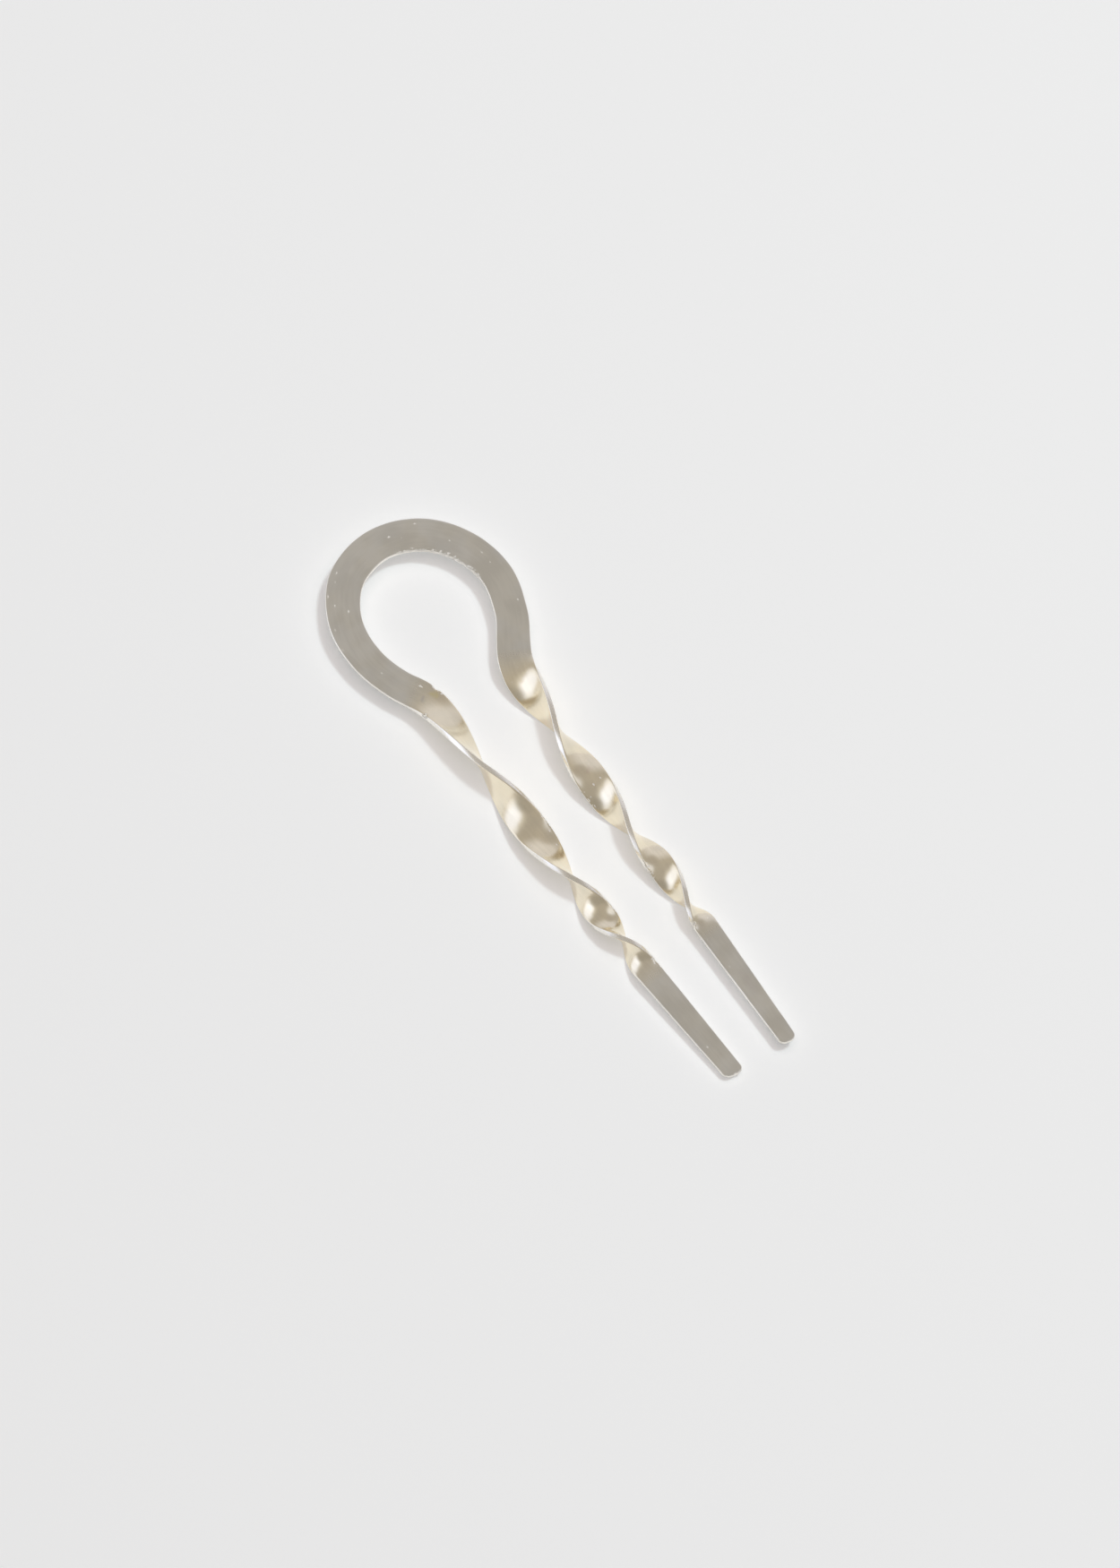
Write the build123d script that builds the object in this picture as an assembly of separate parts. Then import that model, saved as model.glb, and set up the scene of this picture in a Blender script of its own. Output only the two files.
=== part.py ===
from build123d import *

import os
from collections import namedtuple

import numpy as np

# Spiral bun pin: one flat metal strip, bent edgewise into a horseshoe head.
# Each leg is twisted through three half turns and ends in a flat tapered tip.
# Lengths are in millimetres and angles in degrees.
# The pin is shaped in its own plane: +Y from the tips to the head, +Z off the top face.

NODE = "bun_pin"
THICKNESS = 1.0
QUARTER_TURN = 90.0
LEFT = -1
RIGHT = 1

# The head, from its left end round the top to its right end.
# Bearing is measured from +Y towards +X, radius from the middle of the loop.
HeadRow = namedtuple("HeadRow", "bearing radius width")
HEAD = [
    HeadRow(-125, 14.7, 5.6),
    HeadRow(-95, 14.0, 5.7),
    HeadRow(-65, 14.6, 6.0),
    HeadRow(-32, 15.6, 6.3),
    HeadRow(0, 15.5, 6.2),
    HeadRow(32, 14.7, 6.1),
    HeadRow(65, 14.0, 5.9),
    HeadRow(95, 14.1, 5.9),
    HeadRow(125, 14.7, 5.8),
]

# The legs, a row for each quarter turn of the twist, from the crease at the head.
# Along runs from the middle of the loop towards the tip, offset is out from the pin's axis,
# and height is the middle of the strip above the plane of the head.
LegRow = namedtuple("LegRow", "along offset height width")
LEFT_LEG = [
    LegRow(12.2, 10.2, 0.0, 5.8),
    LegRow(30.7, 8.9, 0.0, 6.2),
    LegRow(44.5, 8.5, 0.0, 6.0),
    LegRow(55.9, 8.2, 0.0, 5.3),
    LegRow(63.7, 7.7, -0.1, 4.9),
    LegRow(69.8, 7.2, -0.2, 4.6),
    LegRow(76.0, 7.0, -0.4, 4.5),
]
RIGHT_LEG = [
    LegRow(16.6, 7.3, 0.0, 6.2),
    LegRow(29.6, 6.1, 0.0, 6.2),
    LegRow(41.8, 5.5, 0.0, 5.7),
    LegRow(52.6, 5.4, 0.0, 5.4),
    LegRow(61.6, 6.0, 0.0, 4.9),
    LegRow(69.7, 5.7, 0.1, 4.2),
    LegRow(75.2, 5.9, 0.1, 4.1),
]

# The flat tips. Slant is how much further the inner corner reaches than the outer one.
TipEnd = namedtuple("TipEnd", "along offset height width slant outer_radius inner_radius")
LEFT_TIP = TipEnd(99.5, 5.5, -1.0, 3.5, 1.0, 0.6, 1.0)
RIGHT_TIP = TipEnd(100.2, 5.3, 0.4, 3.0, -0.6, 1.1, 0.8)

# The pin lies on the edges of its twists, with the head raised.
PITCH = 0.906
ROLL = 0.274


def head_points():
    """Middle of the strip at each row of the head."""
    points = []
    for row in HEAD:
        bearing = np.radians(row.bearing)
        points.append((row.radius * np.sin(bearing), row.radius * np.cos(bearing), 0.0))
    return points


def leg_points(leg, side):
    """Middle of the strip at each row of a leg."""
    return [(side * row.offset, -row.along, row.height) for row in leg]


def tip_run(leg, tip, side):
    """Start of a flat tip and the straight line from there to its cut end."""
    start = Vector(side * leg[-1].offset, -leg[-1].along, leg[-1].height)
    return start, Vector(side * tip.offset, -tip.along, tip.height) - start


def slopes(stations, values, first=None, last=None):
    """Rate of change at each station, from the parabola through it and its neighbours."""
    steps = np.diff(stations)[:, None]
    rates = np.diff(values, axis=0) / steps
    inner = (steps[1:] * rates[:-1] + steps[:-1] * rates[1:]) / (steps[1:] + steps[:-1])
    start = rates[0] if first is None else first
    end = rates[-1] if last is None else last
    return np.vstack([start, inner, end])


def add_halfway(stations, values, rates):
    """Rows with one more between each two, and the rates at all of them."""
    steps = np.diff(stations)[:, None]
    chords = np.diff(values, axis=0)
    middles = (values[:-1] + values[1:]) / 2 + (rates[:-1] - rates[1:]) * steps / 8
    middle_rates = 1.5 * chords / steps - (rates[:-1] + rates[1:]) / 4
    rows = [values[0]]
    row_rates = [rates[0]]
    for index in range(len(middles)):
        rows += [middles[index], values[index + 1]]
        row_rates += [middle_rates[index], rates[index + 1]]
    return np.array(rows), np.array(row_rates)


def strip_rows():
    """Station, middle, width and their rates at each row, from left tip to right tip."""
    points = leg_points(LEFT_LEG, LEFT)[::-1] + head_points() + leg_points(RIGHT_LEG, RIGHT)
    widths = [row.width for row in LEFT_LEG[::-1] + HEAD + RIGHT_LEG]
    lengths = np.linalg.norm(np.diff(points, axis=0), axis=1)
    stations = np.concatenate([[0.0], np.cumsum(lengths)])
    values = np.column_stack([points, widths])
    ends = []
    for leg, tip, side in ((LEFT_LEG, LEFT_TIP, LEFT), (RIGHT_LEG, RIGHT_TIP, RIGHT)):
        run = tip_run(leg, tip, side)[1]
        taper = (tip.width - leg[-1].width) / run.length
        ends.append(side * np.array([*run.normalized(), taper]))
    return stations, values, slopes(stations, values, ends[0], ends[1])


def corners(value, rate, twist):
    """Corners of the section: outer top, inner top, inner bottom, outer bottom."""
    middle = Vector(*value[:3])
    heading = Vector(*rate[:3]).normalized()
    outward = Vector(-heading.Y, heading.X, 0).normalized()
    turned = Axis((0, 0, 0), heading)
    across = outward.rotate(turned, twist) * (value[3] / 2)
    up = heading.cross(outward).rotate(turned, twist) * (THICKNESS / 2)
    return [middle + across + up, middle - across + up, middle - across - up, middle + across - up]


def twisted_leg(stations, values, rates, quarters):
    """Leg between four long faces, each ruled between two corners of the turning section."""
    twists = np.array(quarters)[:, None] * QUARTER_TURN
    twist_rows, _ = add_halfway(stations, twists, slopes(stations, twists))
    rows, row_rates = add_halfway(stations, values, rates)
    sections = [corners(*row) for row in zip(rows, row_rates, twist_rows[:, 0])]
    places = [float(place) for place in range(len(sections))]
    edges = []
    for corner in range(4):
        edges.append(Edge.make_spline([item[corner] for item in sections], parameters=places))
    faces = []
    for corner in range(4):
        faces.append(Face.make_surface_from_curves(edges[corner], edges[(corner + 1) % 4]))
    for ends in (sections[0], sections[-1]):
        faces.append(Face(Wire.make_polygon(ends)))
    return Solid(Shell(faces))


def flat_head(values, rates):
    """Flat horseshoe between the creases where the legs begin to twist."""
    sections = [corners(value, rate, 0.0) for value, rate in zip(values, rates)]
    outer = [item[3] for item in sections]
    inner = [item[2] for item in sections]
    outline = [
        Edge.make_spline(outer),
        Edge.make_line(outer[-1], inner[-1]),
        Edge.make_spline(inner),
        Edge.make_line(inner[0], outer[0]),
    ]
    return extrude(Face(Wire(outline)), THICKNESS, dir=(0, 0, 1))


def flat_tip(leg, tip, side):
    """Flat tapered end of a leg, cut at a slant, with its corners rounded."""
    start, run = tip_run(leg, tip, side)
    heading = run.normalized()
    outward = Vector(-heading.Y, heading.X, 0).normalized() * side
    up = heading.cross(outward) * side
    low = start - up * (THICKNESS / 2)
    end = low + run
    slant = heading * (tip.slant / 2)
    points = [
        low + outward * (leg[-1].width / 2),
        end + outward * (tip.width / 2) - slant,
        end - outward * (tip.width / 2) + slant,
        low - outward * (leg[-1].width / 2),
    ]
    face = Face(Wire.make_polygon(points))
    for corner, radius in ((points[1], tip.outer_radius), (points[2], tip.inner_radius)):
        vertex = face.vertices().sort_by_distance(corner)[0]
        face = face.fillet_2d(radius, [vertex])
    return extrude(face, THICKNESS, dir=up)


def pin_in_its_plane():
    """The whole strip as one solid, with the head flat."""
    stations, values, rates = strip_rows()
    left = slice(0, len(LEFT_LEG))
    right = slice(len(values) - len(RIGHT_LEG), len(values))
    head = slice(left.stop - 1, right.start + 1)
    quarters = list(range(len(LEFT_LEG)))
    pieces = [
        twisted_leg(stations[left], values[left], rates[left], quarters[::-1]),
        twisted_leg(stations[right], values[right], rates[right], quarters),
        flat_tip(LEFT_LEG, LEFT_TIP, LEFT),
        flat_tip(RIGHT_LEG, RIGHT_TIP, RIGHT),
    ]
    return flat_head(values[head], rates[head]).fuse(*pieces)


def bun_pin():
    """The pin as it lies, with the origin under the middle of its box."""
    pin = pin_in_its_plane().rotate(Axis.X, PITCH).rotate(Axis.Y, ROLL)
    box = pin.bounding_box()
    middle = box.center()
    return Pos(-middle.X, -middle.Y, -box.min.Z) * pin


os.makedirs("parts", exist_ok=True)
solid = bun_pin().solid()
export_step(solid, f"parts/{NODE}.step")
print(f"{NODE}: {len(solid.faces())} faces, {solid.volume:.1f} mm3, valid {solid.is_valid}")
print("box", solid.bounding_box())
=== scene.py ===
import math

import bmesh
import bpy
import numpy as np
from mathutils import Matrix, Vector, noise


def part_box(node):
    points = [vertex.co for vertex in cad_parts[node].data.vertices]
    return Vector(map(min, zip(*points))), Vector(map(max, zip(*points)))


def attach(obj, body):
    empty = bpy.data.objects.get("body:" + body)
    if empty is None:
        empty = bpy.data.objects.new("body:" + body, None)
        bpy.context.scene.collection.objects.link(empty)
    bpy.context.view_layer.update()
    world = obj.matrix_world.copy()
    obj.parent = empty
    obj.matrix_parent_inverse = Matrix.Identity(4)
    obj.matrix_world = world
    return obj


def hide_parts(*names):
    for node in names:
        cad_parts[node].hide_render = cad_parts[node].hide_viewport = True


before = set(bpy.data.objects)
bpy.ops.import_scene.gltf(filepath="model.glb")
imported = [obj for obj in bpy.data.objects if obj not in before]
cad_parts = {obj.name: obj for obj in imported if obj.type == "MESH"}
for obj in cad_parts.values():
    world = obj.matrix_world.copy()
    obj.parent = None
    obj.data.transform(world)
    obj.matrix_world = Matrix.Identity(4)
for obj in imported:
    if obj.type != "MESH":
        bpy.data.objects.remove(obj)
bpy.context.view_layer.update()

bl_info = {
    "name": "Spiral bun pin",
    "version": (1, 0, 0),
    "blender": (4, 5, 0),
    "location": "View3D > Sidebar > Bun pin",
    "description": "A flat strip of pale metal bent into a horseshoe head with twisted legs",
    "category": "Object",
}

# The strip's tables are in millimetres and the scene is in metres.
MM = 0.001
NODE = "bun_pin"
PIECE = "bun_pin_strip"

# The head: bearing in degrees from +Y towards +X, radius of the strip's middle, width.
HEAD = (
    (-125, 14.7, 5.6),
    (-95, 14.0, 5.7),
    (-65, 14.6, 6.0),
    (-32, 15.6, 6.3),
    (0, 15.5, 6.2),
    (32, 14.7, 6.1),
    (65, 14.0, 5.9),
    (95, 14.1, 5.9),
    (125, 14.7, 5.8),
)
# The legs, a row for each quarter turn: along, offset from the pin's axis, height, width.
LEFT_LEG = (
    (12.2, 10.2, 0.0, 5.8),
    (30.7, 8.9, 0.0, 6.2),
    (44.5, 8.5, 0.0, 6.0),
    (55.9, 8.2, 0.0, 5.3),
    (63.7, 7.7, -0.1, 4.9),
    (69.8, 7.2, -0.2, 4.6),
    (76.0, 7.0, -0.4, 4.5),
)
RIGHT_LEG = (
    (16.6, 7.3, 0.0, 6.2),
    (29.6, 6.1, 0.0, 6.2),
    (41.8, 5.5, 0.0, 5.7),
    (52.6, 5.4, 0.0, 5.4),
    (61.6, 6.0, 0.0, 4.9),
    (69.7, 5.7, 0.1, 4.2),
    (75.2, 5.9, 0.1, 4.1),
)
# The cut ends: along, offset, height, width, slant, outer and inner corner radius. Slant is
# how much further the corner next to the other leg reaches than the outer one. The blank is
# upside down there after three half turns, so its outer edge lies next to the other leg.
LEFT_END = (99.6, 5.5, -1.0, 3.5, 1.0, 1.0, 1.3)
RIGHT_END = (100.5, 5.3, 0.4, 3.0, -0.7, 1.4, 1.0)
QUARTER_TURN = math.pi / 2
# Stretches of the long edges that are ragged: from and to in mm from the left leg's last
# row, side (+1 the blank's outer edge), face (+1 its top), depth of the chips.
RAGGED = (
    (101.0, 126.0, -1, 1, 0.07),
    (61.0, 64.0, -1, 1, 0.10),
    (59.6, 61.2, 1, 1, 0.09),
    (-1.5, 2.2, 1, -1, 0.07),
    (29.0, 34.0, 1, -1, 0.05),
    (166.0, 171.5, 1, -1, 0.05),
    (183.5, 188.0, -1, 1, 0.05),
    (11.0, 14.0, -1, 1, 0.04),
)
# Chips this deep show their torn metal in full, shallower ones in part.
DEEP_CHIPS = 0.07
# Single notches: place along, side, face, depth, length.
NOTCHES = (
    (62.6, -1, 1, 0.22, 0.5),
    (60.4, 1, 1, 0.20, 0.4),
    (198.4, 1, -1, 0.25, 0.5),
    (122.4, -1, 1, 0.15, 0.4),
    (0.4, 1, -1, 0.18, 0.4),
)
# Bright flecks in the faces: place along and across in mm, face, radius.
FLECKS = (
    (119.3, 0.77, 1, 0.14),
    (121.5, 0.48, 1, 0.09),
    (129.6, 1.71, 1, 0.12),
    (113.3, -0.20, 1, 0.10),
    (107.1, 2.00, 1, 0.12),
    (104.6, -0.40, 1, 0.09),
    (102.6, 0.40, 1, 0.17),
    (92.0, 2.06, 1, 0.12),
    (90.5, 1.74, 1, 0.09),
    (88.1, 2.64, 1, 0.14),
    (86.6, 1.41, 1, 0.12),
    (85.4, -0.90, 1, 0.16),
    (82.6, 2.15, 1, 0.12),
    (79.1, 2.48, 1, 0.10),
    (71.8, 0.09, 1, 0.11),
    (64.7, -1.51, 1, 0.17),
    (55.4, 2.45, 1, 0.12),
    (167.5, 0.30, -1, 0.16),
    (167.2, -1.30, -1, 0.12),
    (169.0, 1.90, -1, 0.10),
    (170.6, 2.30, -1, 0.12),
    (30.4, 2.30, -1, 0.12),
    (27.8, 1.90, -1, 0.10),
    (-17.0, -0.74, -1, 0.12),
    (-6.3, 0.60, -1, 0.08),
    (208.2, 0.90, -1, 0.09),
)
# Stains: place along and across in mm, face, reach across and along, colour, strength.
STAINS = (
    (61.9, -1.70, 1, 0.9, 1.3, (0.88, 0.80, 0.50), 0.8),
    (63.1, 0.20, 1, 0.9, 0.7, (0.60, 0.60, 0.62), 0.5),
    (144.6, -0.30, 1, 0.6, 0.8, (0.74, 0.62, 0.42), 0.5),
    (25.6, 1.70, -1, 0.7, 0.9, (0.72, 0.57, 0.42), 0.5),
    (164.7, -0.60, -1, 1.4, 0.9, (0.78, 0.66, 0.55), 0.5),
    (212.0, -0.30, -1, 1.0, 4.0, (0.74, 0.70, 0.68), 0.4),
)
# The room that the metal mirrors: bearing in degrees from +X towards +Y, degrees above the
# horizon, radius in degrees of the even part and of the whole, colour.
ROOM = (
    (160, 4, 8, 34, (0.80, 0.78, 0.75)),
    (148, 26, 12, 42, (0.80, 0.77, 0.72)),
    (122, 30, 4, 22, (1.02, 1.04, 1.12)),
    (168, 20, 4, 22, (1.02, 1.05, 1.15)),
    (152, 30, 6, 26, (1.25, 1.32, 1.55)),
    (136, 27, 5, 22, (1.15, 1.2, 1.38)),
    (300, 50, 6, 26, (0.90, 0.92, 1.0)),
    (200, 30, 8, 30, (0.38, 0.36, 0.33)),
    (232, 22, 12, 34, (0.38, 0.36, 0.33)),
    (34, 15, 15, 50, (0.72, 0.71, 0.74)),
    (357, 50, 5, 25, (0.44, 0.41, 0.38)),
    (233, 2, 7, 18, (1.1, 1.05, 1.0)),
)
# From the pin to each lamp, in metres.
LAMP_DISTANCE = 2.0
# Height of a direction above the horizon at which the room has its overhead light.
OVERHEAD_HEIGHT = 0.7
# The floor: how far it reaches from the pin in metres, and its finish.
FLOOR_REACH = 3.0
FLOOR_ROUGHNESS = 0.8
FLOOR_SPECULAR = 0.15
# The camera: width of its sensor in millimetres, and the nearest that it sees in metres.
SENSOR_WIDTH = 36.0
NEAREST_SEEN = 0.01
# The finish changes over this length at each end of a twist, in millimetres.
CREASE_BLEND = 5.0
# A twist sets in gradually, over this range of steps in millimetres.
CREASE_STEPS = np.linspace(-1.2, 1.2, 13)
# How the pin lies on the edges of its twists, in degrees.
PITCH = 0.906
ROLL = 0.274
# The noise in the shape: the step between the seeds, and the seeds.
SEED_STEP = (7.3, 3.1, 5.7)
WAVE_SEED, SWAY_SEED, CHIP_SEED, FINE_CHIP_SEED, TEAR_SEED, FACE_TEAR_SEED = range(1, 7)
# How far apart the noise of the two sides and of the two faces is.
SWAY_APART = 9
CHIPS_APART = 5
FACES_APART = 4
# Chips and fine chips for each millimetre, how deep the fine ones and all of them go, and how
# strongly a notch shows its torn metal.
CHIP_RATE = 1.9
FINE_CHIP_RATE = 4.7
FINE_CHIP_SHARE = 0.6
CHIP_GAIN = 2
NOTCH_MARK = 0.5
# The torn end: tears for each millimetre across, through and over the faces, and how deep
# those over the faces go.
TEARS_ACROSS = 1.7
TEARS_THROUGH = 2.5
TEARS_OVER = (2.2, 2.2, 0)
FACE_TEAR_SHARE = 0.5
# Flecks and stains sit on the blank's faces, this far from its middle in millimetres.
FACE_HEIGHT = 0.5
# A fleck's reach across and along for each millimetre of its radius, and how fine and soft the
# edges of flecks and stains are.
FLECK_ACROSS = 1.2
FLECK_ALONG = 2.2
FLECK_EDGE = {"Fineness": 8.0, "Softness": 0.4}
STAIN_EDGE = {"Fineness": 0.8, "Softness": 0.1}
SPOT_RAGGEDNESS = (1.6, 1.6, 1.6)
# Scattered specks and pits: cells for each millimetre, size in cells, share of the cells.
SPECKS = {"Scale": 0.9, "Size": 0.10, "Share": 0.25}
PITS = {"Scale": 1.6, "Size": 0.10, "Share": 0.25}
# Streaks for each millimetre across and along, their depth, and how much slower the tone between
# them changes.
SATIN_GRAIN = {"Across": 6.0, "Along": 0.7}
SATIN_DEPTH = 0.0006 * MM
SHEARED_GRAIN = {"Across": 3.0, "Along": 2.0}
SHEARED_DEPTH = 0.003 * MM
SLOW_GRAIN = 0.3
# The noise between which the hue drifts, and how far from its middle value the tone's runs.
HUE_RANGE = (0.35, 0.65)
TONE_RANGE = 0.2
# How strongly rubbed edges and the painted shade in pits show, and what grain and marks add to the
# roughness.
RUBBED_SHARE = 0.3
PIT_SHADE_SHARE = 0.3
GRAIN_ROUGHNESS = 0.08
MARK_ROUGHNESS = 0.25
# The worn edges: how often the noise changes in each millimetre, and the ranges over which the
# rubbed metal fades and the chips set in. Their distances are in widths of the rubbed edge.
RUBBED_RATE = 0.9
BROKEN_RATE = 1.8
WEAR_DETAIL = 3.0
WIDTH_GAIN = 2.0
RUBBED_FADE = (0.3, 1.3)
BROKEN_RANGE = (0.49, 0.62)
CHIP_WIDTHS = 7.0
CHIP_EDGE = 0.5
CHIPPED_RANGE = (0.1, 0.4)


def slopes(stations, values, first=None, last=None):
    """Rate of change at each station, from the parabola through it and its neighbours."""
    steps = np.diff(stations)[:, None]
    rates = np.diff(values, axis=0) / steps
    inner = (steps[1:] * rates[:-1] + steps[:-1] * rates[1:]) / (steps[1:] + steps[:-1])
    start = rates[0] if first is None else first
    end = rates[-1] if last is None else last
    return np.vstack([start, inner, end])


def curve_at(where, stations, values, rates):
    """Values and rates of the smooth curve through the rows, straight on beyond its ends."""
    span = np.clip(np.searchsorted(stations, where, side="right") - 1, 0, len(stations) - 2)
    step = (stations[span + 1] - stations[span])[:, None]
    inside = np.clip(where, stations[0], stations[-1])
    beyond = (where - inside)[:, None]
    part = (inside - stations[span])[:, None] / step
    before, after = values[span], values[span + 1]
    leaving, arriving = rates[span] * step, rates[span + 1] * step
    value = (
        before * (1 + 2 * part) * (1 - part) ** 2
        + leaving * part * (1 - part) ** 2
        + after * part**2 * (3 - 2 * part)
        + arriving * part**2 * (part - 1)
    )
    rate = (
        (after - before) * 6 * part * (1 - part)
        + leaving * (1 - part) * (1 - 3 * part)
        + arriving * part * (3 * part - 2)
    ) / step
    return value + rate * beyond, rate


class Strip:
    """Where the strip's middle runs, how wide it is and how far it is twisted."""

    def __init__(self):
        points = [(-row[1], -row[0], row[2], row[3]) for row in LEFT_LEG[::-1]]
        for bearing, radius, width in HEAD:
            turn = math.radians(bearing)
            points.append((radius * math.sin(turn), radius * math.cos(turn), 0.0, width))
        points += [(row[1], -row[0], row[2], row[3]) for row in RIGHT_LEG]
        self.values = np.array(points)
        lengths = np.linalg.norm(np.diff(self.values[:, :3], axis=0), axis=1)
        self.stations = np.concatenate([[0.0], np.cumsum(lengths)])
        left_run, left_rate = self.tip_run(self.values[0], LEFT_END, -1)
        right_run, right_rate = self.tip_run(self.values[-1], RIGHT_END, 1)
        self.rates = slopes(self.stations, self.values, left_rate, right_rate)
        self.start = -left_run
        self.end = self.stations[-1] + right_run
        self.left_crease = self.stations[len(LEFT_LEG) - 1]
        self.right_crease = self.stations[-len(RIGHT_LEG)]

    def tip_run(self, row, end, side):
        """Length of a flat tip, and the rates of the strip's middle and width along it."""
        along, offset, height, width = end[:4]
        run = Vector((side * offset, -along, height)) - Vector(row[:3])
        rate = [*run.normalized(), (width - row[3]) / run.length]
        return run.length, side * np.array(rate)

    def middle(self, where):
        """Middle, heading and width of the strip at stations."""
        value, rate = curve_at(where, self.stations, self.values, self.rates)
        heading = rate[:, :3] / np.linalg.norm(rate[:, :3], axis=1)[:, None]
        return value[:, :3], heading, value[:, 3]

    def twist(self, where):
        """Angle of the twist at stations: none in the head, three half turns at the tips."""
        quarters = len(LEFT_LEG)
        turn = np.zeros(len(where))
        left = self.stations[:quarters]
        right = self.stations[-quarters:]
        angles = np.arange(quarters)[:, None] * QUARTER_TURN
        for rows, values in ((left, angles[::-1]), (right, angles)):
            inside = np.clip(where, rows[0], rows[-1])
            value, _ = curve_at(inside, rows, values, slopes(rows, values))
            turn += value[:, 0]
        return turn

    def twist_share(self, where):
        """0 in the flat head and tips, 1 in the twists, changing over a short length between."""
        leg = np.minimum(self.left_crease - where, where)
        other = np.minimum(where - self.right_crease, self.stations[-1] - where)
        return np.clip(np.maximum(leg, other) / CREASE_BLEND + 0.5, 0, 1)


def turned(vectors, axes, angles):
    """Vectors turned about unit axes at right angles to them."""
    cosine = np.cos(angles)[:, None]
    sine = np.sin(angles)[:, None]
    return vectors * cosine + np.cross(axes, vectors) * sine


def is_flat_face(face):
    """True for the blank's top and bottom, false for its sheared sides."""
    return abs(face.normal.z) > 0.5


def is_rim_edge(edge):
    """True where a flat face of the blank meets its sheared side."""
    flat = [is_flat_face(face) for face in edge.link_faces]
    return len(flat) == 2 and flat[0] != flat[1]


def shaped_end(x, run, width, length, end):
    """The point of a tip moved so that its end is slanted and has round corners."""
    slant, outer_radius, inner_radius = end[4:]
    radius = inner_radius if x > 0 else outer_radius
    beyond = run - (length - radius)
    aside = abs(x) - (width / 2 - radius)
    if beyond > 0 and aside > 0:
        shrink = max(beyond, aside) / math.hypot(beyond, aside)
        run += beyond * (shrink - 1)
        x -= math.copysign(aside * (1 - shrink), x)
    return x, run * (1 + slant * x / width / length)


def blank_place(strip, sizes, across, along):
    """A point of the blank from its share across and its share along."""
    where = strip.start + along * (strip.end - strip.start)
    width = strip.middle(np.array([where]))[2][0]
    edge = sizes.edge_column / MM
    column = across * sizes.columns
    if column < 0.5:
        x = -width / 2
    elif column > sizes.columns - 0.5:
        x = width / 2
    else:
        x = (width / 2 - edge) * (2 * (column - 1) / (sizes.columns - 2) - 1)
    last = strip.stations[-1]
    if where < 0:
        x, run = shaped_end(x, -where, width, -strip.start, LEFT_END)
        where = -run
    elif where > last:
        x, run = shaped_end(x, where - last, width, strip.end - last, RIGHT_END)
        where = last + run
    return Vector((x, where, 0.0))


def flat_blank(strip, sizes):
    """The strip before bending, in millimetres.

    +X is its outer edge, +Y runs along it from the left tip, and +Z is its top face.
    """
    blank = bmesh.new()
    rows = round((strip.end - strip.start) / (sizes.row_step / MM))
    bmesh.ops.create_grid(blank, x_segments=sizes.columns, y_segments=rows, size=0.5)
    for vertex in blank.verts:
        vertex.co = blank_place(strip, sizes, vertex.co.x + 0.5, vertex.co.y + 0.5)
    thickness = sizes.thickness / MM
    bmesh.ops.translate(blank, verts=blank.verts, vec=(0, 0, thickness / 2))
    bmesh.ops.solidify(blank, geom=blank.faces[:], thickness=thickness)
    bmesh.ops.recalc_face_normals(blank, faces=blank.faces)
    for face in blank.faces:
        face.material_index = 0 if is_flat_face(face) else 1
    bmesh.ops.bevel(
        blank,
        geom=[edge for edge in blank.edges if is_rim_edge(edge)],
        offset=sizes.edge_radius / MM,
        offset_type="OFFSET",
        segments=sizes.edge_segments,
        profile=0.5,
        affect="EDGES",
        clamp_overlap=True,
        material=-1,
    )
    return blank


def noise_at(places, seed):
    """Smooth noise between -1 and 1 at each place."""
    offset = Vector([seed * step for step in SEED_STEP])
    return np.array([noise.noise(Vector(place) + offset) for place in places])


def bump_shape(distance):
    """1 in the middle, falling smoothly to 0 at a distance of 1."""
    return np.clip(1 - distance**2, 0, None) ** 2


def wear(flat, width, strip, sizes):
    """The blank's points after shearing, filing and use: wavy faces, ragged and notched edges."""
    across, where, above = flat.T.copy()
    side = np.sign(across)
    face = np.sign(above)
    from_edge = width / 2 - np.abs(across)
    edge = sizes.chip_reach / MM
    near = np.clip(1 - from_edge / edge, 0, 1)
    waves = noise_at(flat * (1, 1, 0) / (sizes.uneven_length / MM), WAVE_SEED)
    above += waves * sizes.uneven_height / MM
    sway_places = np.column_stack([side * SWAY_APART, where / (sizes.sway_length / MM), 0 * where])
    sway = noise_at(sway_places, SWAY_SEED)
    across += sway * sizes.edge_sway / MM * 2 * np.abs(across) / width
    places = np.column_stack([side * CHIPS_APART, where, face * FACES_APART])
    chips = np.abs(noise_at(places * (1, CHIP_RATE, 1), CHIP_SEED))
    chips += FINE_CHIP_SHARE * np.abs(noise_at(places * (1, FINE_CHIP_RATE, 1), FINE_CHIP_SEED))
    depth = np.zeros(len(flat))
    chipped = np.zeros(len(flat))
    for start, end, at_side, at_face, most in RAGGED:
        middle, half = (start + end) / 2, (end - start) / 2
        here = bump_shape((where - middle) / half) * (side == at_side) * (face == at_face)
        depth += most * chips * CHIP_GAIN * here
        chipped += np.sqrt(here) * most / DEEP_CHIPS
    for place, at_side, at_face, most, length in NOTCHES:
        here = bump_shape((where - place) / length) * (side == at_side) * (face == at_face)
        depth += most * here
        chipped += NOTCH_MARK * here
    across -= side * depth * near
    above -= face * depth * near
    chipped = np.clip(chipped * (1 - from_edge / (sizes.chip_mark / MM)), 0, 1)
    past_start = np.clip(1 - (where - strip.start) / (sizes.rough_end / MM), 0, 1)
    tear_places = np.column_stack([across * TEARS_ACROSS, 0 * where, above * TEARS_THROUGH])
    where += past_start * noise_at(tear_places, TEAR_SEED) * sizes.rough_depth / MM
    face_tears = noise_at(flat * TEARS_OVER, FACE_TEAR_SEED)
    above += past_start * face_tears * sizes.rough_depth / MM * FACE_TEAR_SHARE
    return across, where, above, chipped


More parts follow.
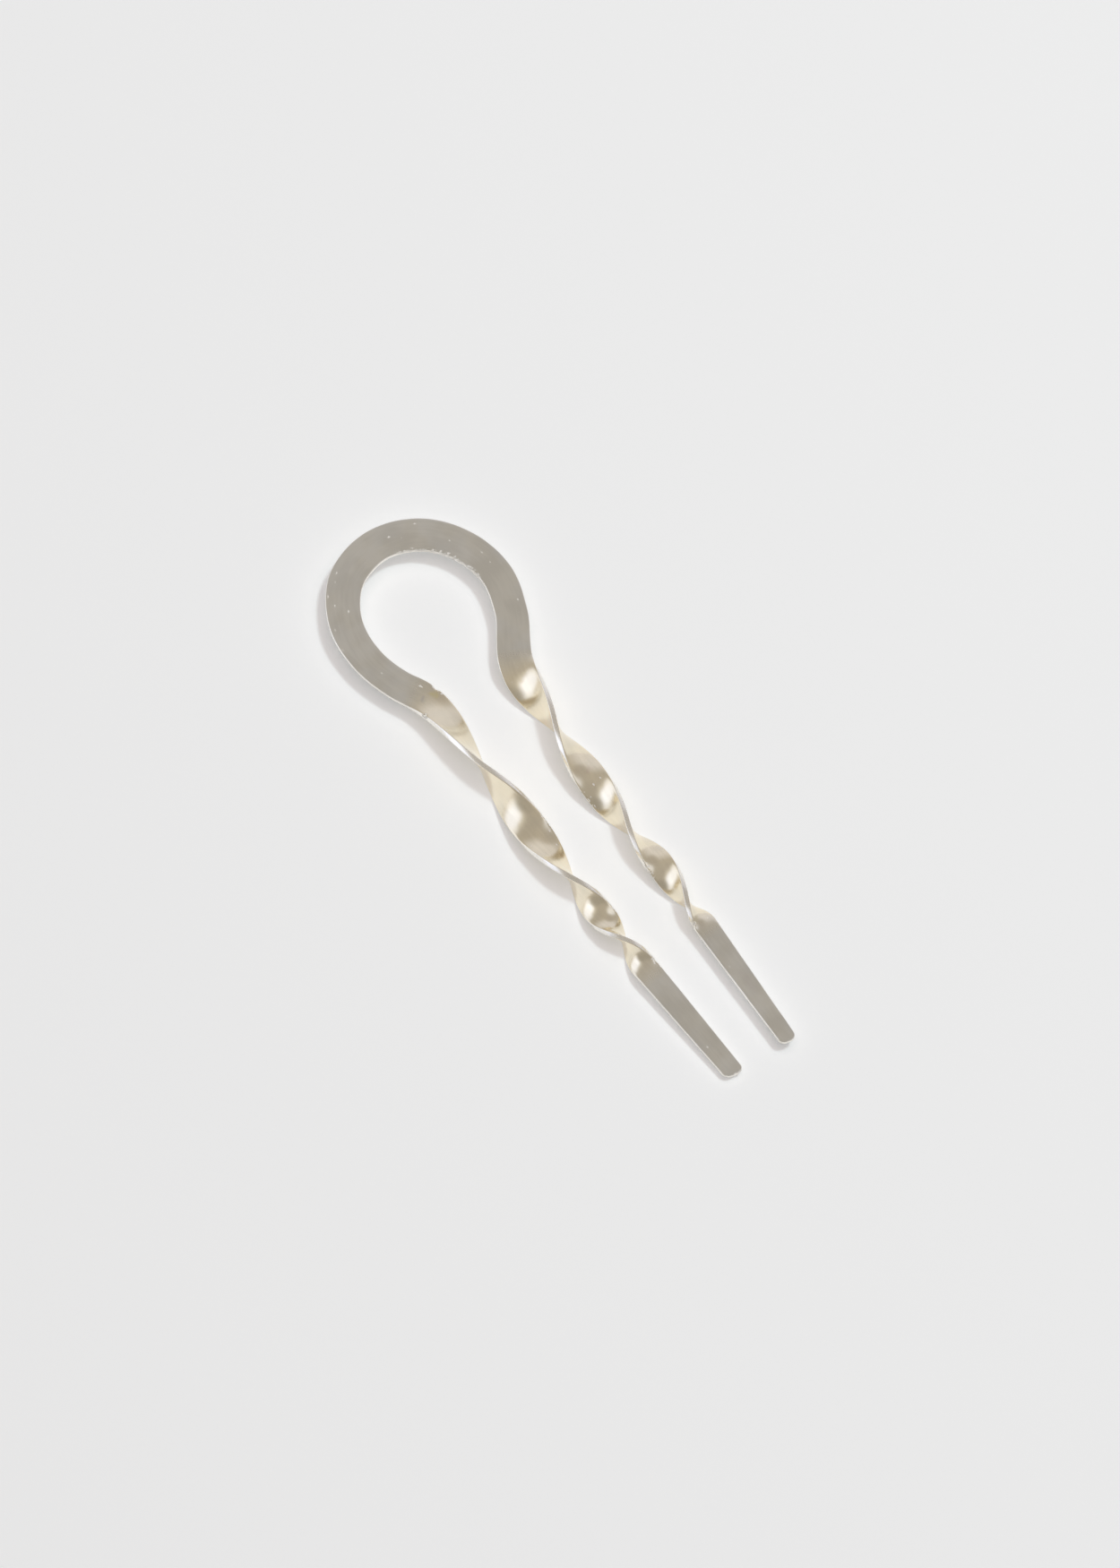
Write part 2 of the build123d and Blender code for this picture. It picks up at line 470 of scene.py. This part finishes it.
def bend(blank, strip, sizes):
    """Bends and twists the flat blank, and lays the pin on its surface."""
    flat = np.array([vertex.co for vertex in blank.verts])
    width = strip.middle(flat[:, 1])[2]
    across, where, above, chipped = wear(flat, width, strip, sizes)
    middle, heading, _ = strip.middle(where)
    level = np.column_stack([-heading[:, 1], heading[:, 0], np.zeros(len(flat))])
    level /= np.linalg.norm(level, axis=1)[:, None]
    twist = np.mean([strip.twist(where + step) for step in CREASE_STEPS], axis=0)
    outward = turned(level, heading, twist)
    upward = turned(np.cross(heading, level), heading, twist)
    bent = (middle + outward * across[:, None] + upward * above[:, None]) * MM
    pitch = Matrix.Rotation(math.radians(PITCH), 3, "X")
    roll = Matrix.Rotation(math.radians(ROLL), 3, "Y")
    bent = bent @ np.array(roll @ pitch).T
    low, high = bent.min(axis=0), bent.max(axis=0)
    cad_low, cad_high = (np.array(corner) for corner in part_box(NODE))
    shift = (cad_low + cad_high - low - high) / 2
    shift[2] = cad_low[2] - low[2]
    bent += shift
    past_end = np.minimum(flat[:, 1] - strip.start, strip.end - flat[:, 1])
    to_rim = np.minimum(width / 2 - np.abs(flat[:, 0]), past_end)
    layers = blank.verts.layers
    place = layers.float_vector.new("strip_place")
    rim = layers.float.new("rim_distance")
    stretched = layers.float.new("twist_share")
    ragged = layers.float.new("chipped")
    share = strip.twist_share(where)
    for index, vertex in enumerate(blank.verts):
        vertex[place] = flat[index]
        vertex[rim] = to_rim[index]
        vertex[stretched] = share[index]
        vertex[ragged] = chipped[index]
        vertex.co = bent[index]


class NodeTree:
    """A node tree with short ways to add the nodes used here."""

    def __init__(self, tree):
        self.tree = tree

    def add(self, kind, inputs=(), **settings):
        """A new node, with its settings and with values or links for its inputs."""
        node = self.tree.nodes.new(kind)
        for name, value in settings.items():
            setattr(node, name, value)
        for name, value in dict(inputs).items():
            socket = node.inputs[name]
            if isinstance(value, bpy.types.NodeSocket):
                self.tree.links.new(value, socket)
            else:
                socket.default_value = value
        return node

    def attribute(self, name):
        """The node that reads one of the mesh's attributes."""
        return self.add("ShaderNodeAttribute", attribute_name=name)

    def math(self, operation, first, second=0.0):
        """The result of one sum."""
        return self.add("ShaderNodeMath", {0: first, 1: second}, operation=operation).outputs[0]

    def blend(self, share, first, second, kind="MIX"):
        """A colour blended from two."""
        node = self.add("ShaderNodeMix", data_type="RGBA", blend_type=kind)
        for name, value in (("Factor_Float", share), ("A_Color", first), ("B_Color", second)):
            socket = next(item for item in node.inputs if item.identifier == name)
            if isinstance(value, bpy.types.NodeSocket):
                self.tree.links.new(value, socket)
            else:
                socket.default_value = value
        return next(item for item in node.outputs if item.identifier == "Result_Color")

    def remap(self, value, low, high, to_low, to_high):
        """A value carried smoothly from one range to another, and held inside it."""
        inputs = {"Value": value, "From Min": low, "From Max": high, "To Min": to_low, "To Max": to_high}
        return self.add("ShaderNodeMapRange", inputs, interpolation_type="SMOOTHSTEP").outputs["Result"]


def new_group(name, inputs, outputs):
    """An empty shader node group with named sockets, and its input and output nodes."""
    group = bpy.data.node_groups.new(name, "ShaderNodeTree")
    for socket, kind, default in inputs:
        made = group.interface.new_socket(socket, in_out="INPUT", socket_type=kind)
        if default is not None:
            made.default_value = default
    for socket in outputs:
        group.interface.new_socket(socket, in_out="OUTPUT", socket_type="NodeSocketFloat")
    nodes = NodeTree(group)
    return group, nodes, nodes.add("NodeGroupInput"), nodes.add("NodeGroupOutput")


def brushed_grain_group():
    """Fine streaks along the strip, and the slower change of tone between them."""
    group, nodes, given, result = new_group(
        "brushed_grain",
        [
            ("Place", "NodeSocketVector", None),
            ("Across", "NodeSocketFloat", 5.0),
            ("Along", "NodeSocketFloat", 0.4),
        ],
        ["Height", "Tone"],
    )
    scale = nodes.add(
        "ShaderNodeCombineXYZ",
        {"X": given.outputs["Across"], "Y": given.outputs["Along"], "Z": given.outputs["Across"]},
    )
    stretched = nodes.add(
        "ShaderNodeVectorMath", {0: given.outputs["Place"], 1: scale.outputs[0]}, operation="MULTIPLY"
    )
    streaks = nodes.add(
        "ShaderNodeTexNoise", {"Vector": stretched.outputs[0], "Scale": 1.0, "Detail": 3.0}
    )
    slow = nodes.add(
        "ShaderNodeTexNoise", {"Vector": stretched.outputs[0], "Scale": SLOW_GRAIN, "Detail": 1.0}
    )
    nodes.tree.links.new(streaks.outputs["Fac"], result.inputs["Height"])
    nodes.tree.links.new(slow.outputs["Fac"], result.inputs["Tone"])
    return group


def speckle_group():
    """Sparse small spots, each with its own size."""
    group, nodes, given, result = new_group(
        "speckle",
        [
            ("Place", "NodeSocketVector", None),
            ("Scale", "NodeSocketFloat", 0.5),
            ("Size", "NodeSocketFloat", 0.05),
            ("Share", "NodeSocketFloat", 0.3),
        ],
        ["Mask"],
    )
    cells = nodes.add(
        "ShaderNodeTexVoronoi",
        {"Vector": given.outputs["Place"], "Scale": given.outputs["Scale"], "Randomness": 1.0},
    )
    chance = nodes.add("ShaderNodeSeparateColor", {"Color": cells.outputs["Color"]})
    kept = nodes.math("LESS_THAN", chance.outputs["Red"], given.outputs["Share"])
    size = nodes.math("MULTIPLY", chance.outputs["Green"], given.outputs["Size"])
    spot = nodes.remap(nodes.math("DIVIDE", cells.outputs["Distance"], size), 0.5, 1.0, 1.0, 0.0)
    nodes.tree.links.new(nodes.math("MULTIPLY", spot, kept), result.inputs["Mask"])
    return group


def rim_wear_group():
    """Where the long edges are rubbed or chipped bright, broken up along the edge."""
    group, nodes, given, result = new_group(
        "rim_wear",
        [
            ("Place", "NodeSocketVector", None),
            ("Rim distance", "NodeSocketFloat", 1.0),
            ("Chipped", "NodeSocketFloat", 0.0),
            ("Width", "NodeSocketFloat", 0.1),
        ],
        ["Rubbed", "Chips"],
    )
    place = given.outputs["Place"]
    uneven, broken = (
        nodes.add("ShaderNodeTexNoise", {"Vector": place, "Scale": rate, "Detail": WEAR_DETAIL})
        for rate in (RUBBED_RATE, BROKEN_RATE)
    )
    spread = nodes.math("MULTIPLY", uneven.outputs["Fac"], WIDTH_GAIN)
    width = nodes.math("MULTIPLY", given.outputs["Width"], spread)
    near = nodes.math("DIVIDE", given.outputs["Rim distance"], width)
    rubbed = nodes.remap(near, *RUBBED_FADE, 1.0, 0.0)
    reach = nodes.remap(broken.outputs["Fac"], *BROKEN_RANGE, 0.0, CHIP_WIDTHS)
    chips = nodes.remap(nodes.math("SUBTRACT", reach, near), 0.0, CHIP_EDGE, 0.0, 1.0)
    torn = nodes.remap(given.outputs["Chipped"], *CHIPPED_RANGE, 0.0, 1.0)
    chips = nodes.math("MULTIPLY", chips, torn)
    nodes.tree.links.new(rubbed, result.inputs["Rubbed"])
    nodes.tree.links.new(chips, result.inputs["Chips"])
    return group


def spot_group():
    """One spot with an uneven, soft edge round a place on the strip."""
    group, nodes, given, result = new_group(
        "spot",
        [
            ("Place", "NodeSocketVector", None),
            ("Centre", "NodeSocketVector", None),
            ("Reach", "NodeSocketVector", None),
            ("Fineness", "NodeSocketFloat", 1.0),
            ("Softness", "NodeSocketFloat", 0.5),
        ],
        ["Mask"],
    )
    sums = {}
    for name, operation, first, second in (
        ("away", "SUBTRACT", given.outputs["Place"], given.outputs["Centre"]),
        ("share", "DIVIDE", "away", given.outputs["Reach"]),
        ("rough", "SUBTRACT", "noise", (0.5, 0.5, 0.5)),
        ("ragged", "MULTIPLY", "rough", SPOT_RAGGEDNESS),
        ("place", "ADD", "share", "ragged"),
        ("distance", "LENGTH", "place", (0, 0, 0)),
    ):
        if name == "rough":
            texture = {"Vector": given.outputs["Place"], "Scale": given.outputs["Fineness"], "Detail": 1.0}
            sums["noise"] = nodes.add("ShaderNodeTexNoise", texture).outputs["Color"]
        values = {0: sums.get(first, first), 1: sums.get(second, second)}
        node = nodes.add("ShaderNodeVectorMath", values, operation=operation)
        sums[name] = node.outputs["Value" if operation == "LENGTH" else "Vector"]
    mask = nodes.remap(sums["distance"], given.outputs["Softness"], 1.0, 1.0, 0.0)
    nodes.tree.links.new(mask, result.inputs["Mask"])
    return group


def clouding_group():
    """Large soft patches where the metal's tone drifts."""
    group, nodes, given, result = new_group(
        "clouding",
        [("Place", "NodeSocketVector", None), ("Scale", "NodeSocketFloat", 0.3)],
        ["Tone", "Hue"],
    )
    tone = nodes.add(
        "ShaderNodeTexNoise",
        {"Vector": given.outputs["Place"], "Scale": given.outputs["Scale"], "Detail": 2.0},
    )
    colour = nodes.add("ShaderNodeSeparateColor", {"Color": tone.outputs["Color"]})
    nodes.tree.links.new(tone.outputs["Fac"], result.inputs["Tone"])
    nodes.tree.links.new(colour.outputs["Green"], result.inputs["Hue"])
    return group


def opaque(colour):
    """A colour with its alpha."""
    return (*colour, 1.0)


def placed(nodes, group, **inputs):
    """A node group placed in a material with its own values."""
    values = {name.replace("_", " "): value for name, value in inputs.items()}
    node = nodes.add("ShaderNodeGroup", node_tree=group)
    for name, value in values.items():
        if isinstance(value, bpy.types.NodeSocket):
            nodes.tree.links.new(value, node.inputs[name])
        else:
            node.inputs[name].default_value = value
    return node


def metal_material(name, look, groups, metals, roughness, grain, streak_depth):
    """Pale metal: satin in the head and tips, smoother where it is twisted. There its colour is a
    brighter, yellower copy of the same metal: painted sheen of the warm light that the twists mirror. Pits
    are blended darker as painted shade.
    """
    material = bpy.data.materials.new(name)
    material.use_nodes = True
    nodes = NodeTree(material.node_tree)
    shader = material.node_tree.nodes["Principled BSDF"]
    place = nodes.attribute("strip_place").outputs["Vector"]
    rim = nodes.attribute("rim_distance").outputs["Fac"]
    twisted = nodes.attribute("twist_share").outputs["Fac"]
    streaks = placed(nodes, groups["grain"], Place=place, **grain)
    specks = placed(nodes, groups["speckle"], Place=place, **SPECKS)
    pits = placed(nodes, groups["speckle"], Place=place, **PITS)
    chipped = nodes.attribute("chipped").outputs["Fac"]
    worn = placed(
        nodes, groups["rim"], Place=place, Rim_distance=rim, Chipped=chipped, Width=look.rim_width / MM
    )
    clouds = placed(nodes, groups["clouds"], Place=place, Scale=look.cloud_scale)

    # The twists' colour is the same metal painted brighter and yellower: painted sheen of the warm light
    # they mirror.
    flat_metal, twist_sheen_metal = (opaque(metal) for metal in metals)
    colour = nodes.blend(twisted, flat_metal, twist_sheen_metal)
    drift = nodes.remap(clouds.outputs["Hue"], *HUE_RANGE, 0.0, 1.0)
    colour = nodes.blend(nodes.math("MULTIPLY", drift, look.tarnish), colour, opaque(look.tarnish_colour))
    streaky = nodes.math("MULTIPLY", streaks.outputs["Tone"], look.streak_share)
    tone = nodes.math("ADD", streaky, clouds.outputs["Tone"])
    middle = 0.5 + 0.5 * look.streak_share
    low, high = middle - TONE_RANGE, middle + TONE_RANGE
    shade = nodes.remap(tone, low, high, 1.0 - look.mottle, 1.0 + look.mottle)
    grey = nodes.add("ShaderNodeCombineColor", {"Red": shade, "Green": shade, "Blue": shade})
    colour = nodes.blend(1.0, colour, grey.outputs[0], "MULTIPLY")
    for along, across, face, wide, long, stain, strength in STAINS:
        centre = (across, along, face * FACE_HEIGHT)
        reach = (wide, long, FACE_HEIGHT)
        spot = placed(nodes, groups["spot"], Place=place, Centre=centre, Reach=reach, **STAIN_EDGE)
        colour = nodes.blend(nodes.math("MULTIPLY", spot.outputs[0], strength), colour, opaque(stain))
    flecks = specks.outputs[0]
    for along, across, face, size in FLECKS:
        centre = (across, along, face * FACE_HEIGHT)
        reach = (size * FLECK_ACROSS, size * FLECK_ALONG, size * FLECK_ACROSS)
        spot = placed(nodes, groups["spot"], Place=place, Centre=centre, Reach=reach, **FLECK_EDGE)
        flecks = nodes.math("MAXIMUM", flecks, spot.outputs[0])
    rubbed = nodes.math("MULTIPLY", worn.outputs["Rubbed"], RUBBED_SHARE)
    colour = nodes.blend(rubbed, colour, opaque(look.bright))
    # Painted shade: pits are blended towards a dark colour.
    colour = nodes.blend(nodes.math("MULTIPLY", pits.outputs[0], PIT_SHADE_SHARE), colour, opaque(look.pit_shade))
    marks = nodes.math("MAXIMUM", flecks, worn.outputs["Chips"])
    colour = nodes.blend(marks, colour, opaque(look.bright))
    nodes.tree.links.new(colour, shader.inputs["Base Color"])

    rough = nodes.math("ADD", roughness, nodes.math("MULTIPLY", twisted, look.twist_gloss))
    uneven = nodes.math("MULTIPLY", streaks.outputs["Height"], GRAIN_ROUGHNESS)
    rough = nodes.math("ADD", rough, uneven)
    rough = nodes.math("ADD", rough, nodes.math("MULTIPLY", marks, MARK_ROUGHNESS))
    bare = nodes.math("SUBTRACT", 1.0, nodes.math("MULTIPLY", marks, look.mark_haze))
    nodes.tree.links.new(bare, shader.inputs["Metallic"])
    nodes.tree.links.new(rough, shader.inputs["Roughness"])

    height = nodes.math("SUBTRACT", streaks.outputs["Height"], pits.outputs[0])
    height = nodes.math("ADD", height, nodes.math("MULTIPLY", marks, look.mark_height))
    bump = nodes.add("ShaderNodeBump", {"Height": height, "Distance": streak_depth, "Strength": 1.0})
    nodes.tree.links.new(bump.outputs["Normal"], shader.inputs["Normal"])
    return material


def length(name, description, millimetres):
    """A length property with its default in millimetres."""
    return bpy.props.FloatProperty(
        name=name, description=description, default=millimetres * MM, precision=6, unit="LENGTH"
    )


def tint(name, description, colour):
    """A colour property."""
    return bpy.props.FloatVectorProperty(
        name=name, description=description, default=colour, min=0.0, max=1.0, subtype="COLOR"
    )


def number(name, description, default):
    """A plain number property."""
    return bpy.props.FloatProperty(name=name, description=description, default=default)


def angle(name, description, degrees):
    """An angle property with its default in degrees."""
    return bpy.props.FloatProperty(
        name=name, description=description, default=math.radians(degrees), subtype="ANGLE"
    )


class BunPinSizes(bpy.types.PropertyGroup):
    """Sizes of the strip and of its wear"""

    thickness: length("Thickness", "Thickness of the strip", 1.0)
    edge_radius: length("Edge radius", "Rounding of the long edges", 0.33)
    edge_column: length("Edge column", "Width of the outermost column of faces", 0.45)
    row_step: length("Row step", "Length of each row of faces", 0.28)
    uneven_height: length("Face waves", "Height of the slow waves in the faces", 0.010)
    uneven_length: length("Wave length", "Length of the waves in the faces", 6.0)
    edge_sway: length("Edge sway", "How far the sheared edges wander", 0.04)
    sway_length: length("Sway length", "Length of the wandering of the edges", 3.0)
    chip_reach: length("Chip reach", "How far chips reach in from an edge", 0.35)
    chip_mark: length("Chip mark", "How far the torn metal shows in from a chipped edge", 0.8)
    rough_end: length("Rough end", "Length of the left tip that the cut has torn", 0.5)
    rough_depth: length("Rough depth", "Depth of the tearing at the left tip", 0.22)
    columns: bpy.props.IntProperty(
        name="Columns", description="Columns of faces across the strip", default=20
    )
    edge_segments: bpy.props.IntProperty(
        name="Edge segments", description="Facets round each long edge", default=3
    )


class BunPinLook(bpy.types.PropertyGroup):
    """Colours and finish of the metal and the floor"""

    metal: tint("Metal", "Metal of the head and the tips", (0.81, 0.80, 0.765))
    # Painted sheen: the same metal, painted brighter and yellower where it is twisted.
    twist_sheen_metal: tint("Twisted metal", "Metal of the twists, stretched and yellower", (0.92, 0.83, 0.65))
    # Bright metal is real wear on rubbed edges, chips and specks, and also painted sheen: it is the whole
    # colour of the sheared sides, brightening their reflection.
    bright: tint("Bright metal", "Rubbed edges and specks", (0.95, 0.92, 0.86))
    # Painted shade at the bottoms of pits.
    pit_shade: tint("Dark metal", "Bottoms of pits", (0.45, 0.42, 0.38))
    tarnish_colour: tint("Tarnish", "Thin film on the metal", (0.74, 0.70, 0.60))
    tarnish: number("Tarnish amount", "How strongly the film shows", 0.35)
    mottle: number("Mottle", "Change of tone over the faces", 0.05)
    streak_share: number("Streak share", "How much of the change of tone is in streaks", 0.35)
    cloud_scale: number("Cloud scale", "Patches of tone for each millimetre", 0.16)
    roughness: number("Roughness", "Roughness of the satin faces", 0.26)
    edge_roughness: number("Edge roughness", "Roughness of the sheared sides", 0.34)
    twist_gloss: number("Twist gloss", "Added to the roughness where the strip is twisted", -0.11)
    mark_haze: number("Mark haze", "How much torn metal scatters light instead of mirroring it", 0.75)
    mark_height: number("Mark height", "Relief of flecks and chips against that of the grain", 12.0)
    rim_width: length("Rim width", "Width of the rubbed edge", 0.08)
    floor: tint("Floor", "Colour of the floor", (0.80, 0.80, 0.80))


class BunPinStage(bpy.types.PropertyGroup):
    """Camera and light"""

    azimuth: angle("Azimuth", "Bearing of the camera", -37.29)
    elevation: angle("Elevation", "Height of the camera above the floor", 70.11)
    camera_roll: angle("Roll", "Turn of the camera about its own axis", 1.81)
    distance: length("Distance", "From the camera to its target", 901.2)
    target: bpy.props.FloatVectorProperty(
        name="Target",
        description="Point of the floor at the middle of the picture",
        default=(1.01 * MM, 2.26 * MM, 0.0),
        subtype="TRANSLATION",
    )
    lens: number("Lens", "Focal length in millimetres on a 36 mm sensor", 118.06)
    key_towards: bpy.props.FloatVectorProperty(
        name="Key direction",
        description="Direction from the pin to the key light",
        default=(0.43, -0.04, 1.0),
        subtype="DIRECTION",
    )
    top_towards: bpy.props.FloatVectorProperty(
        name="Top light direction",
        description="Direction from the pin to the soft light overhead",
        default=(0.15, 0.0, 1.0),
        subtype="DIRECTION",
    )
    key_size: length("Key size", "Width of the key light", 280.0)
    key_power: number("Key power", "Power of the key light in watts", 12.0)
    top_size: length("Top size", "Width of the soft light overhead", 2400.0)
    top_power: number("Top power", "Power of the soft light overhead in watts", 22.6)
    key_colour: tint("Key colour", "Colour of the key light", (0.82, 0.97, 1.0))
    top_colour: tint("Top colour", "Colour of the soft light overhead", (1.0, 0.9, 0.88))
    floor_glow: number("Floor glow", "Light that the floor gives off, as a light table does", 0.30)
    zenith: tint("Overhead", "Light from straight above", (0.465, 0.435, 0.395))
    horizon: tint("Horizon", "Light from low down", (0.52, 0.49, 0.46))


class BUNPIN_OT_strip(bpy.types.Operator):
    """Makes the bent and twisted strip with its finish"""

    bl_idname = "bunpin.strip"
    bl_label = "Strip"

    def execute(self, context):
        sizes = context.scene.bun_pin_sizes
        look = context.scene.bun_pin_look
        strip = Strip()
        blank = flat_blank(strip, sizes)
        bend(blank, strip, sizes)
        mesh = bpy.data.meshes.new(PIECE)
        blank.to_mesh(mesh)
        blank.free()
        mesh.shade_smooth()
        piece = bpy.data.objects.new(PIECE, mesh)
        context.scene.collection.objects.link(piece)
        groups = {
            "grain": brushed_grain_group(),
            "speckle": speckle_group(),
            "rim": rim_wear_group(),
            "clouds": clouding_group(),
            "spot": spot_group(),
        }
        mesh.materials.append(
            metal_material(
                "satin_face",
                look,
                groups,
                (look.metal, look.twist_sheen_metal),
                look.roughness,
                SATIN_GRAIN,
                SATIN_DEPTH,
            )
        )
        mesh.materials.append(
            metal_material(
                "sheared_edge",
                look,
                groups,
                # The sheared sides take the bright metal throughout: painted sheen that brightens their
                # reflection.
                (look.bright, look.bright),
                look.edge_roughness,
                SHEARED_GRAIN,
                SHEARED_DEPTH,
            )
        )
        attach(piece, "root")
        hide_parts(NODE)
        return {"FINISHED"}


def soft_light(scene, name, towards, width, power, colour):
    """A round area light facing the pin, which lights the floor and shows in no reflection."""
    light = bpy.data.lights.new(name, "AREA")
    light.shape = "DISK"
    light.size = width
    light.energy = power
    light.color = colour
    lamp = bpy.data.objects.new(name, light)
    direction = Vector(towards).normalized()
    lamp.location = direction * LAMP_DISTANCE
    lamp.rotation_euler = direction.to_track_quat("Z", "Y").to_euler()
    lamp.visible_glossy = False
    scene.collection.objects.link(lamp)


def studio_world(stage):
    """The room that the metal mirrors: dim, with broad soft lights. It lights no dull surface."""
    world = bpy.data.worlds.new("studio")
    world.use_nodes = True
    nodes = NodeTree(world.node_tree)
    background = world.node_tree.nodes["Background"]
    direction = nodes.add("ShaderNodeTexCoord").outputs["Generated"]
    height = nodes.add("ShaderNodeSeparateXYZ", {"Vector": direction}).outputs["Z"]
    share = nodes.remap(height, 0.0, OVERHEAD_HEIGHT, 0.0, 1.0)
    colour = nodes.blend(share, opaque(stage.horizon), opaque(stage.zenith))
    for bearing, rise, core, whole, light in ROOM:
        towards = Matrix.Rotation(math.radians(bearing), 3, "Z") @ Vector(
            (math.cos(math.radians(rise)), 0, math.sin(math.radians(rise)))
        )
        facing = nodes.add("ShaderNodeVectorMath", {0: direction, 1: towards}, operation="DOT_PRODUCT")
        inner, outer = math.cos(math.radians(core)), math.cos(math.radians(whole))
        share = nodes.remap(facing.outputs["Value"], outer, inner, 0.0, 1.0)
        colour = nodes.blend(share, colour, opaque(light))
    nodes.tree.links.new(colour, background.inputs["Color"])
    world.cycles_visibility.diffuse = False
    return world


def floor_piece(colour, glow):
    """A large pale floor, faintly lit from beneath as a light table is."""
    mesh = bpy.data.meshes.new("floor")
    shape = bmesh.new()
    bmesh.ops.create_grid(shape, x_segments=1, y_segments=1, size=FLOOR_REACH)
    shape.to_mesh(mesh)
    shape.free()
    material = bpy.data.materials.new("pale_floor")
    material.use_nodes = True
    shader = material.node_tree.nodes["Principled BSDF"]
    shader.inputs["Base Color"].default_value = opaque(colour)
    shader.inputs["Roughness"].default_value = FLOOR_ROUGHNESS
    shader.inputs["Specular IOR Level"].default_value = FLOOR_SPECULAR
    shader.inputs["Emission Color"].default_value = opaque((1.0, 1.0, 1.0))
    shader.inputs["Emission Strength"].default_value = glow
    mesh.materials.append(material)
    return bpy.data.objects.new("floor", mesh)


def photo_camera(stage):
    """The camera at the photo's angle to the pin."""
    lens = bpy.data.cameras.new("camera")
    lens.lens = stage.lens
    lens.sensor_width = SENSOR_WIDTH
    lens.clip_start = NEAREST_SEEN
    camera = bpy.data.objects.new("camera", lens)
    right = Vector((math.cos(stage.azimuth), math.sin(stage.azimuth), 0.0))
    level = Vector((math.sin(stage.azimuth), -math.cos(stage.azimuth), 0.0))
    back = level * math.cos(stage.elevation) + Vector((0, 0, math.sin(stage.elevation)))
    facing = Matrix((right, back.cross(right), back)).transposed()
    facing = facing @ Matrix.Rotation(stage.camera_roll, 3, "Z")
    place = Matrix.Translation(Vector(stage.target) + back * stage.distance)
    camera.matrix_world = place @ facing.to_4x4()
    return camera


class BUNPIN_OT_stage(bpy.types.Operator):
    """Makes the floor, the lights and the camera"""

    bl_idname = "bunpin.stage"
    bl_label = "Stage"

    def execute(self, context):
        scene = context.scene
        stage = scene.bun_pin_stage
        floor = floor_piece(scene.bun_pin_look.floor, stage.floor_glow)
        scene.collection.objects.link(floor)
        scene.world = studio_world(stage)
        soft_light(scene, "key", stage.key_towards, stage.key_size, stage.key_power, stage.key_colour)
        soft_light(scene, "top", stage.top_towards, stage.top_size, stage.top_power, stage.top_colour)
        scene.view_settings.view_transform = "Standard"
        camera = photo_camera(stage)
        scene.collection.objects.link(camera)
        scene.camera = camera
        return {"FINISHED"}


class BUNPIN_PT_panel(bpy.types.Panel):
    """Sizes, finish and light of the bun pin"""

    bl_idname = "BUNPIN_PT_panel"
    bl_label = "Bun pin"
    bl_space_type = "VIEW_3D"
    bl_region_type = "UI"
    bl_category = "Bun pin"

    def draw(self, context):
        scene = context.scene
        for group in (scene.bun_pin_sizes, scene.bun_pin_look, scene.bun_pin_stage):
            box = self.layout.box()
            for name in group.__annotations__:
                box.prop(group, name)
        self.layout.operator(BUNPIN_OT_strip.bl_idname)
        self.layout.operator(BUNPIN_OT_stage.bl_idname)


CLASSES = (
    BunPinSizes,
    BunPinLook,
    BunPinStage,
    BUNPIN_OT_strip,
    BUNPIN_OT_stage,
    BUNPIN_PT_panel,
)


def register():
    """Registers the classes and hangs the settings on the scene."""
    for item in CLASSES:
        bpy.utils.register_class(item)
    bpy.types.Scene.bun_pin_sizes = bpy.props.PointerProperty(type=BunPinSizes)
    bpy.types.Scene.bun_pin_look = bpy.props.PointerProperty(type=BunPinLook)
    bpy.types.Scene.bun_pin_stage = bpy.props.PointerProperty(type=BunPinStage)


def unregister():
    """Takes the settings and the classes away again."""
    del bpy.types.Scene.bun_pin_stage
    del bpy.types.Scene.bun_pin_look
    del bpy.types.Scene.bun_pin_sizes
    for item in reversed(CLASSES):
        bpy.utils.unregister_class(item)


def main():
    """Makes the pin and its stage."""
    register()
    bpy.ops.bunpin.strip()
    bpy.ops.bunpin.stage()


if __name__ == "__main__":
    main()
